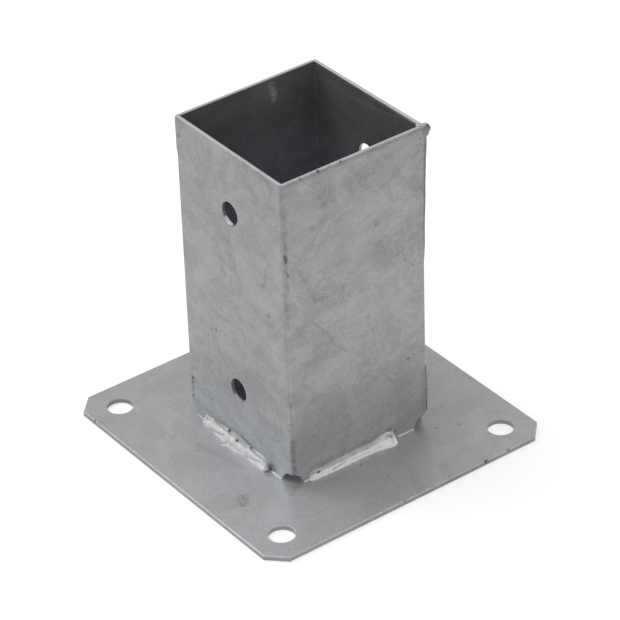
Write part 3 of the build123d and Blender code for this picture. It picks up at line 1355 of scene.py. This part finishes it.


# Stains


# Dark marks on the front wall: stains and pits, and painted shade at the foot and over the bead.
FRONT_STAINS_AND_SHADE = (
    *marks(
        Face.FRONT,
        (-20.9, 127.2, 4.6, 0.17, 1.0), (-5.0, 92.0, 3.4, 0.20, 1.0), (-23.0, 35.9, 7.0, 0.20, 1.0),
        (18.3, 55.5, 0.9, 0.75), (24.0, 85.1, 1.2, 0.4), (-20.9, 17.4, 0.9, 0.5),
        # Painted shade at the left of the wall's foot.
        (-30.0, 9.0, 6.0, 0.12, 1.0),
        (-34.3, 21.3, 1.2, 0.85), (-34.8, 18.9, 1.1, 0.85), (-35.1, 11.2, 1.5, 0.9), (-34.8, 145.3, 1.2, 0.8),
        (-35.6, 136.2, 0.9, 0.7), (-20.7, 51.5, 1.1, 0.35), (-17.5, 56.2, 1.3, 0.35), (-14.6, 57.3, 1.3, 0.5),
        (-11.5, 58.3, 1.1, 0.35), (-7.4, 58.5, 1.1, 0.35), (21.4, 98.0, 2.2, 0.2),
        (4.7, 112.0, 6.0, 0.07, 1.0),
        (-23.6, 105.2, 1.5, 0.25), (-8.3, 8.0, 1.2, 0.95), (7.7, 7.6, 1.0, 0.8), (21.0, 3.7, 2.6, 0.98, 0.7),
        (21.8, 5.2, 2.6, 0.70, 0.9), (22.6, 7.0, 2.6, 0.45, 1.0), (24.0, 5.0, 2.6, 0.45, 1.0),
    ),
    *trail(Face.FRONT, 4.0, 0.20, (12.0, 153.0), (30.0, 149.5)),
    *trail(Face.FRONT, 0.9, 0.22, (23.5, 105.0), (23.8, 101.5), (21.3, 98.2), (17.5, 97.0)),
    *trail(Face.FRONT, 5.0, 0.08, (-12.0, 117.0), (12.0, 84.0), (27.0, 80.0)),
    # Painted shadow on the wall along the top of the front bead, deeper in the notch above its middle.
    *trail(Face.FRONT, 2.6, 0.20, (-25.0, 8.6), (16.0, 7.8)),
    *trail(Face.FRONT, 1.7, 0.45, (1.2, 9.2), (8.6, 7.6)),
    *trail(Face.FRONT, 0.8, 0.4, (-35.0, 22.0), (-35.2, 12.0)),
)
FOLD_STAINS = (
    *trail(Face.RIGHT, 1.2, 0.50, (-36.4, 125.6), (-35.6, 123.0)),
    *trail(Face.RIGHT, 1.5, 0.75, (-36.4, 120.2), (-35.8, 117.2)),
    *trail(Face.RIGHT, 1.2, 0.50, (-36.4, 113.6), (-35.2, 110.2)),
    *trail(Face.RIGHT, 1.7, 0.17, (-36.0, 152.0), (-36.0, 84.0)),
    *trail(Face.RIGHT, 0.9, 0.28, (-36.2, 46.0), (-36.0, 10.0)),
    *trail(Face.RIGHT, 1.8, 0.40, (-35.9, 26.0), (-35.5, 9.0)),
    *marks(Face.RIGHT, (-37.3, 66.8, 0.9, 0.4), (-36.8, 96.0, 0.9, 0.3), (-36.9, 44.6, 0.8, 0.3)),
)
# Dark marks on the right wall: stains, pits and nicks, and painted shade under the rim and by the beads.
RIGHT_STAINS_AND_SHADE = (
    *marks(
        Face.RIGHT,
        (-18.0, 141.7, 1.7, 0.24), (-15.4, 143.2, 1.5, 0.22), (-15.5, 137.7, 1.7, 0.24),
        (-21.7, 127.9, 2.0, 0.24), (11.6, 116.9, 2.3, 0.24), (16.5, 101.0, 9.0, 0.10, 0.2),
        (1.5, 140.5, 9.0, 0.11, 1.0), (5.6, 72.2, 1.7, 0.26), (-7.2, 91.6, 3.4, 0.20, 1.0),
        (27.0, 41.3, 1.0, 0.75), (35.6, 149.3, 0.9, 0.6), (35.6, 146.3, 1.2, 0.5), (35.4, 125.3, 0.9, 0.6),
        (16.2, 8.8, 2.0, 0.42), (19.3, 6.4, 1.3, 0.5), (-26.3, 38.6, 14.0, 0.07, 1.0),
        (20.0, 22.0, 16.0, 0.10, 1.0), (31.7, 90.4, 2.4, 0.18), (-28.0, 57.0, 2.2, 0.12),
        (-27.2, 5.2, 1.8, 0.6),
    ),
    # Painted shade in a thin line under the rim's rounding.
    *trail(Face.RIGHT, 1.1, 0.26, (-36.0, 153.3), (36.0, 153.3)),
    *marks(
        Face.RIGHT,
        (-32.6, 154.2, 1.0, 0.5), (-30.4, 154.2, 0.9, 0.4), (-27.0, 154.2, 1.1, 0.6),
        (-24.0, 154.2, 0.9, 0.4), (-20.9, 154.2, 1.2, 0.4), (-17.9, 154.1, 1.3, 0.75),
        (-12.6, 154.2, 1.0, 0.35), (-6.6, 154.1, 1.3, 0.7),
    ),
    *trail(Face.RIGHT, 0.9, 0.21, (24.9, 108.6), (26.4, 102.6), (25.0, 98.2), (26.3, 92.6), (34.3, 84.7)),
    *trail(Face.RIGHT, 1.1, 0.16, (-23.4, 82.2), (-15.7, 73.8), (-12.0, 65.8), (-5.5, 59.7)),
    *trail(Face.RIGHT, 2.2, 0.16, (-29.0, 110.0), (-21.0, 92.0), (-7.0, 92.0)),
    # Painted shadow on the wall along the top of the right bead.
    *trail(Face.RIGHT, 2.4, 0.20, (-26.6, 7.6), (-4.0, 7.6), (7.6, 8.0), (17.0, 9.2)),
    *trail(Face.RIGHT, 9.0, 0.07, (35.0, 135.0), (35.0, 40.0)),
    # Painted shade along the corner beside the lower seam bead, whose side faces away from the light.
    *trail(Face.RIGHT, 2.0, 0.16, (36.0, 33.0), (36.0, 10.0)),
    *trail(Face.RIGHT, 0.8, 0.22, (34.7, 27.0), (34.9, 11.0)),
)
RIGHT_BRIGHTS = (
    *trail(Face.RIGHT, 3.6, 0.14, (17.0, 108.0), (23.0, 113.0), (29.0, 119.5)),
    *trail(Face.RIGHT, 1.3, 0.13, (-34.6, 108.0), (-31.9, 97.2), (-28.3, 90.6)),
    *trail(Face.RIGHT, 2.9, 0.11, (-28.5, 79.4), (-18.1, 82.5), (-8.8, 82.6)),
    *trail(Face.RIGHT, 1.5, 0.12, (32.6, 97.0), (32.3, 90.1), (31.6, 77.4)),
    *trail(Face.RIGHT, 2.8, 0.10, (-21.6, 82.6), (-13.9, 74.4), (-10.2, 66.8), (-3.7, 61.4)),
    *trail(Face.RIGHT, 2.8, 0.08, (-6.0, 60.5), (12.1, 63.5)),
    *marks(
        Face.RIGHT,
        (-2.0, 73.0, 13.0, 0.11, 0.10), (-27.0, 150.0, 7.0, 0.09, 1.0), (-18.4, 148.0, 4.0, 0.08, 1.0),
        (-12.4, 115.0, 3.0, 0.12), (23.0, 116.0, 7.0, 0.09, 0.3), (19.0, 129.0, 7.0, 0.08, 0.3),
        (-2.0, 104.0, 6.0, 0.06, 1.0),
    ),
)
INNER_BRIGHTS = (
    *marks(
        Face.INNER_LEFT,
        (13.2, 143.8, 2.3, 0.34), (13.4, 146.2, 2.6, 0.46), (12.6, 148.8, 2.5, 0.34),
        (11.9, 151.6, 2.4, 0.26),
    ),
    *trail(Face.INNER_REAR, 1.8, 0.06, (-26.0, 149.2), (-10.8, 148.2), (13.3, 150.4), (22.0, 151.8)),
    *trail(Face.INNER_REAR, 0.8, 0.08, (-34.8, 152.8), (-34.8, 100.0)),
    *trail(Face.INNER_REAR, 1.5, 0.06, (-34.0, 154.2), (34.0, 154.8)),
    Mark(Face.RIGHT, 35.6, 146.3, 1.6, 0.14),
)
# Dark marks on the plate: stains and pits, and painted shade and reflection at the sleeve's near corner.
PLATE_STAINS_AND_SHADE = (
    *marks(
        Face.PLATE,
        (28.2, -58.4, 5.0, 0.42, 0.7), (31.0, -60.8, 4.2, 0.40, 0.7), (-54.0, -71.0, 4.0, 0.16, 1.0),
        (-42.6, -42.1, 1.2, 0.35), (-45.4, -42.5, 1.0, 0.35), (18.1, -67.1, 0.9, 0.45),
        (42.9, -4.4, 0.9, 0.65),
        (36.3, 61.4, 0.8, 0.5), (42.8, 37.4, 1.1, 0.4), (46.8, 47.1, 1.4, 0.35), (56.0, 0.2, 0.8, 0.45),
        # The 5 mm mark at 37.5, -37.5 is painted shade and reflection under the relief notch.
        (20.8, -38.4, 2.6, 0.95, 0.9), (37.5, -37.5, 5.0, 0.5, 1.0), (-34.0, -33.0, 6.0, 0.10, 1.0),
        (22.6, -39.6, 2.6, 0.45, 1.0),
    ),
    *trail(Face.PLATE, 2.6, 0.12, (-14.0, -50.0), (10.0, -45.0)),
    *trail(Face.PLATE, 0.7, 0.12, (-11.9, -53.5), (-1.9, -47.2)),
    *marks(
        Face.PLATE_RIGHT_EDGE,
        (39.3, 2.2, 1.6, 0.85), (51.9, 2.2, 1.3, 0.8), (10.3, 2.4, 1.0, 0.5), (-5.7, 2.4, 1.2, 0.6),
    ),
    Mark(Face.PLATE_FRONT_EDGE, -58.3, 2.3, 1.2, 0.8),
)
PLATE_BRIGHTS = (
    *trail(Face.PLATE, 3.2, 0.13, (-40.2, -46.8), (-28.0, -57.0), (-14.9, -68.7)),
    *trail(Face.PLATE, 1.8, 0.10, (-52.0, -55.0), (-64.0, -52.0)),
    *marks(
        Face.PLATE,
        (46.0, -62.0, 13.0, 0.08, 1.0), (52.0, 50.0, 14.0, 0.07, 1.0), (-24.0, -62.0, 8.0, 0.08, 1.0),
    ),
)


# The part


FRONT_BEAD = FootBead(
    name="front_bead",
    replaced="front_foot_weld",
    wall=Wall.FRONT,
    start=9.5,
    end=57.2,
    wall_leg=(
        (9.5, 3.0), (12.0, 3.9), (16.3, 4.5), (22.3, 4.9), (28.2, 5.3), (33.0, 6.0), (37.0, 5.9), (42.0, 5.0),
        (48.4, 5.0), (53.6, 5.0), (56.0, 3.4), (57.2, 2.4),
    ),
    plate_leg=(
        (9.5, 2.0), (16.4, 2.8), (22.4, 3.3), (27.0, 3.7), (33.2, 4.4), (38.0, 3.5), (41.5, 2.5), (46.3, 2.8),
        (52.3, 3.1), (57.2, 3.0),
    ),
    shoulder_out=0.56,
    shoulder_up=0.62,
    shoulder_weight=1.2,
    roughness=0.025,
    fibre=0.025,
    # Painted shade on the upper part, which faces away from the light, and lighter towards the plate.
    shading_band=((0.0, -0.44), (0.15, -0.40), (0.42, -0.14), (1.0, -0.06)),
    # Grooves get painted shade and ridges painted highlights; the folds with no length are pits.
    folds=(
        Fold((16.4, 0.98), (26.9, 0.63), -0.30, 0.50, -0.34),
        Fold((17.8, 0.05), (30.7, 0.27), -0.20, 0.70, -0.16),
        Fold((22.3, 0.05), (28.9, 0.12), 0.15, 0.35, 0.26),
        Fold((12.0, 0.72), (25.0, 0.50), 0.22, 1.10, 0.06),
        Fold((10.6, 0.05), (16.5, 0.14), 0.12, 0.80, 0.20),
        Fold((18.0, 0.95), (31.0, 0.90), 0.14, 0.60, -0.04),
        Fold((29.6, 0.97), (31.0, 0.60), -0.20, 0.45, -0.28),
        Fold((31.5, 0.55), (42.0, 0.68), 0.26, 1.00, 0.06),
        Fold((31.7, 0.76), (39.5, 0.86), -0.18, 0.35, -0.20),
        Fold((35.5, 0.30), (41.5, 0.42), -0.08, 1.00, -0.12),
        Fold((42.5, 0.98), (52.8, 0.60), -0.28, 0.42, -0.36),
        Fold((43.0, 0.55), (53.0, 0.62), 0.16, 0.80, 0.05),
        Fold((46.0, 0.94), (56.5, 0.84), 0.18, 0.80, 0.08),
        Fold((45.0, 0.28), (54.0, 0.32), -0.18, 0.60, -0.18),
        Fold((48.8, 0.07), (54.4, 0.12), 0.12, 0.40, 0.26),
        Fold((55.4, 0.84), (55.4, 0.84), 0.25, 1.60, 0.20),
        Fold((12.6, 0.37), (12.6, 0.37), -0.20, 0.55, -0.80),
        Fold((28.7, 0.06), (28.7, 0.06), -0.30, 0.75, -0.90),
        Fold((35.7, 0.39), (35.7, 0.39), -0.30, 0.75, -0.75),
        Fold((44.7, 0.06), (44.7, 0.06), -0.25, 0.65, -0.60),
        Fold((30.5, 0.84), (30.5, 0.84), -0.22, 0.45, -0.45),
        Fold((33.5, 0.90), (33.5, 0.90), -0.15, 0.40, -0.35),
    ),
    seed=11,
)
RIGHT_BEAD = FootBead(
    name="right_bead",
    replaced="right_foot_weld",
    wall=Wall.RIGHT,
    start=8.6,
    end=56.0,
    wall_leg=(
        (8.6, 3.4), (11.3, 4.2), (16.2, 3.9), (22.6, 4.05), (31.6, 4.4), (42.0, 4.3), (46.0, 4.8),
        (49.0, 5.5), (52.0, 5.5), (54.0, 4.9), (56.0, 4.2),
    ),
    plate_leg=(
        (8.6, 1.8), (12.5, 2.1), (18.1, 2.4), (27.0, 2.5), (34.1, 2.5), (43.8, 2.8), (48.1, 3.7), (51.4, 4.6),
        (54.4, 4.1), (56.0, 3.6),
    ),
    shoulder_out=0.48,
    shoulder_up=0.54,
    shoulder_weight=1.6,
    roughness=0.03,
    fibre=0.07,
    # Painted shade on the upper part, which faces away from the light, and a painted highlight on the lower
    # part.
    shading_band=((0.0, -0.40), (0.38, -0.26), (0.54, 0.14), (1.0, 0.20)),
    # Grooves get painted shade and ridges painted highlights; the folds with no length are pits and lumps.
    folds=(
        Fold((11.0, 0.75), (17.0, 0.60), 0.15, 0.70, 0.12),
        Fold((18.0, 0.62), (48.0, 0.58), 0.16, 0.50, 0.04),
        Fold((20.5, 0.85), (27.3, 0.66), -0.32, 0.32, -0.50),
        Fold((22.5, 0.05), (30.1, 0.16), 0.12, 0.35, 0.12),
        Fold((30.0, 0.80), (47.0, 0.84), -0.10, 0.25, -0.12),
        Fold((34.0, 0.70), (49.0, 0.72), 0.12, 0.28, 0.04),
        Fold((48.5, 0.30), (48.5, 0.30), 0.25, 2.20, 0.30),
        Fold((50.0, 0.40), (51.2, 0.18), -0.14, 0.45, -0.14),
        Fold((51.2, 0.18), (52.9, 0.30), -0.18, 0.50, -0.22),
        Fold((52.9, 0.30), (52.6, 0.80), -0.24, 0.55, -0.26),
        Fold((51.4, 0.42), (51.4, 0.42), 0.15, 0.70, 0.08),
        Fold((54.8, 0.14), (54.4, 0.95), 0.25, 0.80, 0.20),
        Fold((50.6, 0.06), (52.6, 0.06), 0.20, 0.70, 0.30),
        Fold((13.7, 0.43), (13.7, 0.43), -0.50, 0.62, -1.30),
        Fold((10.2, 0.50), (10.2, 0.60), -0.20, 1.00, -0.30),
    ),
    seed=23,
)
PLAIN_LEGS = ((0.0, 3.4), (24.0, 4.1), (39.0, 3.9), (52.0, 4.2), (62.0, 3.5))
PLAIN_FEET = ((0.0, 3.0), (21.0, 3.6), (36.0, 3.3), (50.0, 3.7), (62.0, 3.2))


def plain_bead(wall: Wall) -> FootBead:
    """Makes a plain bead of even ripples, for a wall that the photograph doesn't show.

    Args:
        wall: The wall whose foot it lies at.

    Returns:
        The bead.
    """
    name, first_seed = wall.name.lower(), 31
    return FootBead(
        name=f"{name}_bead",
        replaced=f"{name}_foot_weld",
        wall=wall,
        start=12.4,
        end=61.6,
        wall_leg=PLAIN_LEGS,
        plate_leg=PLAIN_FEET,
        roughness=0.05,
        ripple=0.06,
        # Painted shade on the part next to the wall.
        shading_band=((0.0, -0.2), (0.5, 0.0), (1.0, 0.0)),
        seed=first_seed + wall.value,
    )


def zinc_run(name: str, wall: Wall, start: float, end: float, seed: int, tone: float = 0.0) -> FootBead:
    """Makes a thin run of zinc in the crack under a wall.

    Args:
        name: The piece's name.
        wall: The wall.
        start: Distance from the wall's first corner to the run's start, in mm.
        end: The same to its end, in mm.
        seed: Picks its waves.
        tone: How much brighter than its coat it is.

    Returns:
        The run, as a small bead.
    """
    return FootBead(
        name=name,
        wall=wall,
        start=start,
        end=end,
        wall_leg=((start, 0.68), (end, 0.60)),
        plate_leg=((start, 0.44), (end, 0.38)),
        end_round=0.5,
        roughness=0.08,
        shading_band=((0.0, tone), (1.0, tone)),
        seed=seed,
        stations=70,
        points_across=10,
    )


ZINC_RUNS = (
    zinc_run("front_zinc_run_left", Wall.FRONT, 3.9, 9.8, 3, -0.22),
    zinc_run("front_zinc_run_right", Wall.FRONT, 59.4, 66.3, 4),
    zinc_run("right_zinc_run_near", Wall.RIGHT, 6.1, 9.2, 5),
    zinc_run("right_zinc_run_far", Wall.RIGHT, 57.6, 66.6, 6),
    zinc_run("rear_zinc_run_near", Wall.REAR, 6.6, 12.8, 7),
    zinc_run("rear_zinc_run_far", Wall.REAR, 61.2, 67.2, 8),
    zinc_run("left_zinc_run_near", Wall.LEFT, 6.6, 12.8, 9),
    zinc_run("left_zinc_run_far", Wall.LEFT, 61.2, 67.2, 10),
)
SEAM_BEADS = (
    SeamBead(
        name="right_upper_bead",
        corner=Corner.RIGHT,
        replaced="right_upper_seam_weld",
        low=84.2,
        high=154.4,
        stand=((84.2, 0.1), (100.0, 0.45), (124.0, 1.1), (136.0, 1.55), (144.0, 2.0), (154.4, 2.4)),
        # Painted shade: darker than the wall, and darker still along its side towards +Y, which faces away
        # from the light.
        low_round=14.0,
        tone=-0.10,
        folds=(Fold((84.0, 0.14), (154.0, 0.14), 0.0, 1.1, -0.36),),
        seed=41,
    ),
    SeamBead(
        name="crown_drop",
        corner=Corner.RIGHT,
        low=147.4,
        high=154.5,
        stand=((147.4, 2.5), (149.8, 3.6), (152.4, 4.45), (154.5, 4.3)),
        flush=((147.4, 0.1), (149.8, 0.5), (152.4, 0.9), (154.5, 0.7)),
        inner_corner=(33.4, 36.3),
        squareness=2.3,
        low_round=3.0,
        high_round=2.8,
        # Painted shade: darker than the wall, and darker still along its side towards +Y, which faces away
        # from the light.
        tone=-0.20,
        folds=(
            Fold((147.6, 0.14), (154.0, 0.13), 0.0, 1.3, -0.42),
            Fold((150.6, 0.97), (150.6, 0.97), -0.12, 1.1, -0.12),
        ),
        seed=45,
    ),
    SeamBead(
        name="right_lower_bead",
        corner=Corner.RIGHT,
        replaced="right_lower_seam_weld",
        low=9.1,
        high=33.8,
        stand=((9.1, 0.85), (20.0, 0.8), (33.8, 0.3)),
        roughness=0.10,
        # Painted shade: darker than the wall, in its grooves and along its side towards +Y, which faces away
        # from the light.
        tone=-0.12,
        folds=(
            Fold((27.0, 0.13), (29.6, 0.13), -0.20, 0.6, -0.35),
            Fold((10.0, 0.13), (13.0, 0.13), -0.20, 0.6, -0.35),
            Fold((9.0, 0.14), (33.0, 0.14), 0.0, 0.9, -0.25),
        ),
        seed=43,
    ),
    SeamBead(
        name="left_upper_bead",
        corner=Corner.LEFT,
        replaced="left_upper_seam_weld",
        low=136.2,
        high=153.9,
        stand=((136.2, 0.3), (153.9, 0.42)),
        seed=47,
    ),
    SeamBead(
        name="left_lower_bead",
        corner=Corner.LEFT,
        replaced="left_lower_seam_weld",
        low=9.1,
        high=26.8,
        stand=((9.1, 0.42), (26.8, 0.3)),
        roughness=0.08,
        seed=53,
    ),
)
HOLE_FILMS = (
    HoleFilm("cross_hole_film_upper", 123.5, 217.0, 276.0, tone=-0.06),
    HoleFilm("cross_hole_drop", 123.5, 318.0, 340.0, thick=0.6, tone=-0.6),
    HoleFilm("cross_hole_film_lower", 33.5, 229.0, 284.0, thick=0.15, tone=-0.3),
)
ANCHOR_PITCH_HALF = 60.0
HOLE_LIPS = tuple(
    HoleLip(f"anchor_hole_lip_{name}", (x * ANCHOR_PITCH_HALF, y * ANCHOR_PITCH_HALF), seed=60 + index)
    for index, (name, x, y) in enumerate((("a", -1, -1), ("b", 1, -1), ("c", 1, 1), ("d", -1, 1)))
)
SPATTERS = (
    Spatter("weld_spatter_tab", (-6.4, -41.9, 2.6), (1.5, 0.45, 0.35), 35.0, -0.05),
    Spatter("weld_spatter_dot", (-12.2, -41.6, 2.5), (0.5, 0.4, 0.3), 10.0, -0.1),
    Spatter("crown_pad", (36.0, 36.3, 154.55), (2.1, 1.4, 0.78), 45.0, -0.45),
)


@dataclass(frozen=True)
class PostBase:
    """The whole post base: its sheets, beads and set zinc, and their finishes."""

    sizes: Sizes
    nodes: dict[str, bpy.types.Object]
    weld_pieces: tuple[ZincPiece, ...]
    seam_pieces: tuple[ZincPiece, ...]
    plate_pieces: tuple[HoleLip, ...]

    def finishes(self) -> dict[str, bpy.types.Material]:
        """Builds the three finishes.

        Returns:
            The materials by the record's slot.
        """
        effects = Effects.build()
        plate = PlateFinish(
            name="plate_zinc",
            color=(0.485, 0.495, 0.508),
            metallic=0.42,
            roughness=0.35,
            cloud_size=34.0,
            patch_size=26.0,
            cloud=0.05,
            patch=0.035,
            grain=0.06,
            lines=0.05,
            relief=0.005,
            dark_stains_and_shade=PLATE_STAINS_AND_SHADE,
            light_stains=PLATE_BRIGHTS,
        )
        sleeve = SleeveFinish(
            name="sleeve_zinc",
            color=(0.41, 0.42, 0.431),
            metallic=0.40,
            roughness=0.36,
            cloud_size=14.0,
            patch_size=18.0,
            grain_size=1.1,
            cloud=0.035,
            patch=0.055,
            grain=0.10,
            lines=0.08,
            relief=0.015,
            toned=True,
            dark_stains_and_shade=FRONT_STAINS_AND_SHADE + FOLD_STAINS + RIGHT_STAINS_AND_SHADE,
            light_stains=RIGHT_BRIGHTS + INNER_BRIGHTS,
        )
        weld = ZincFinish(
            name="weld_zinc",
            color=(0.87, 0.88, 0.89),
            metallic=0.32,
            roughness=0.42,
            cloud_size=3.0,
            patch_size=5.0,
            cloud=0.05,
            patch=0.04,
            grain=0.03,
            specks=0.4,
            relief=0.02,
            toned=True,
        )
        return {finish.name: finish.build(effects, self.sizes) for finish in (plate, sleeve, weld)}

    def build(self) -> None:
        """Makes the beads and set zinc, dresses every piece and lets it ride on the part."""
        finishes = self.finishes()
        slots = {
            "base_plate": "plate_zinc",
            "front_half_sleeve": "sleeve_zinc",
            "rear_half_sleeve": "sleeve_zinc",
        }
        for node, piece in self.nodes.items():
            piece.data.materials.clear()
            piece.data.materials.append(finishes[slots.get(node, "weld_zinc")])
            LOG.info("dressed %s", node)
        kinds = {
            "weld_zinc": self.weld_pieces,
            "sleeve_zinc": self.seam_pieces,
            "plate_zinc": self.plate_pieces,
        }
        for slot, shapes in kinds.items():
            for shape in shapes:
                piece = closed_skin(shape.name, *shape.surface(self.sizes), looped=isinstance(shape, HoleLip))
                piece.data.materials.append(finishes[slot])
                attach(piece, "root")
                if getattr(shape, "replaced", ""):
                    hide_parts(shape.replaced)
                LOG.info("made %s with %d faces", piece.name, len(piece.data.polygons))


def main() -> None:
    """Builds the studio and the part."""
    logging.basicConfig(level=logging.INFO, format="%(name)s: %(message)s")
    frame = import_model()
    sizes = Sizes.read()
    view = bpy.context.scene.view_settings
    view.view_transform = "Standard"
    Camera().build()
    Studio().build()
    plain = (plain_bead(Wall.REAR), plain_bead(Wall.LEFT))
    welds = (FRONT_BEAD, RIGHT_BEAD, *plain, *ZINC_RUNS, *HOLE_FILMS, *SPATTERS)
    PostBase(sizes, frame["nodes"], welds, SEAM_BEADS, HOLE_LIPS).build()


if __name__ == "__main__":
    main()
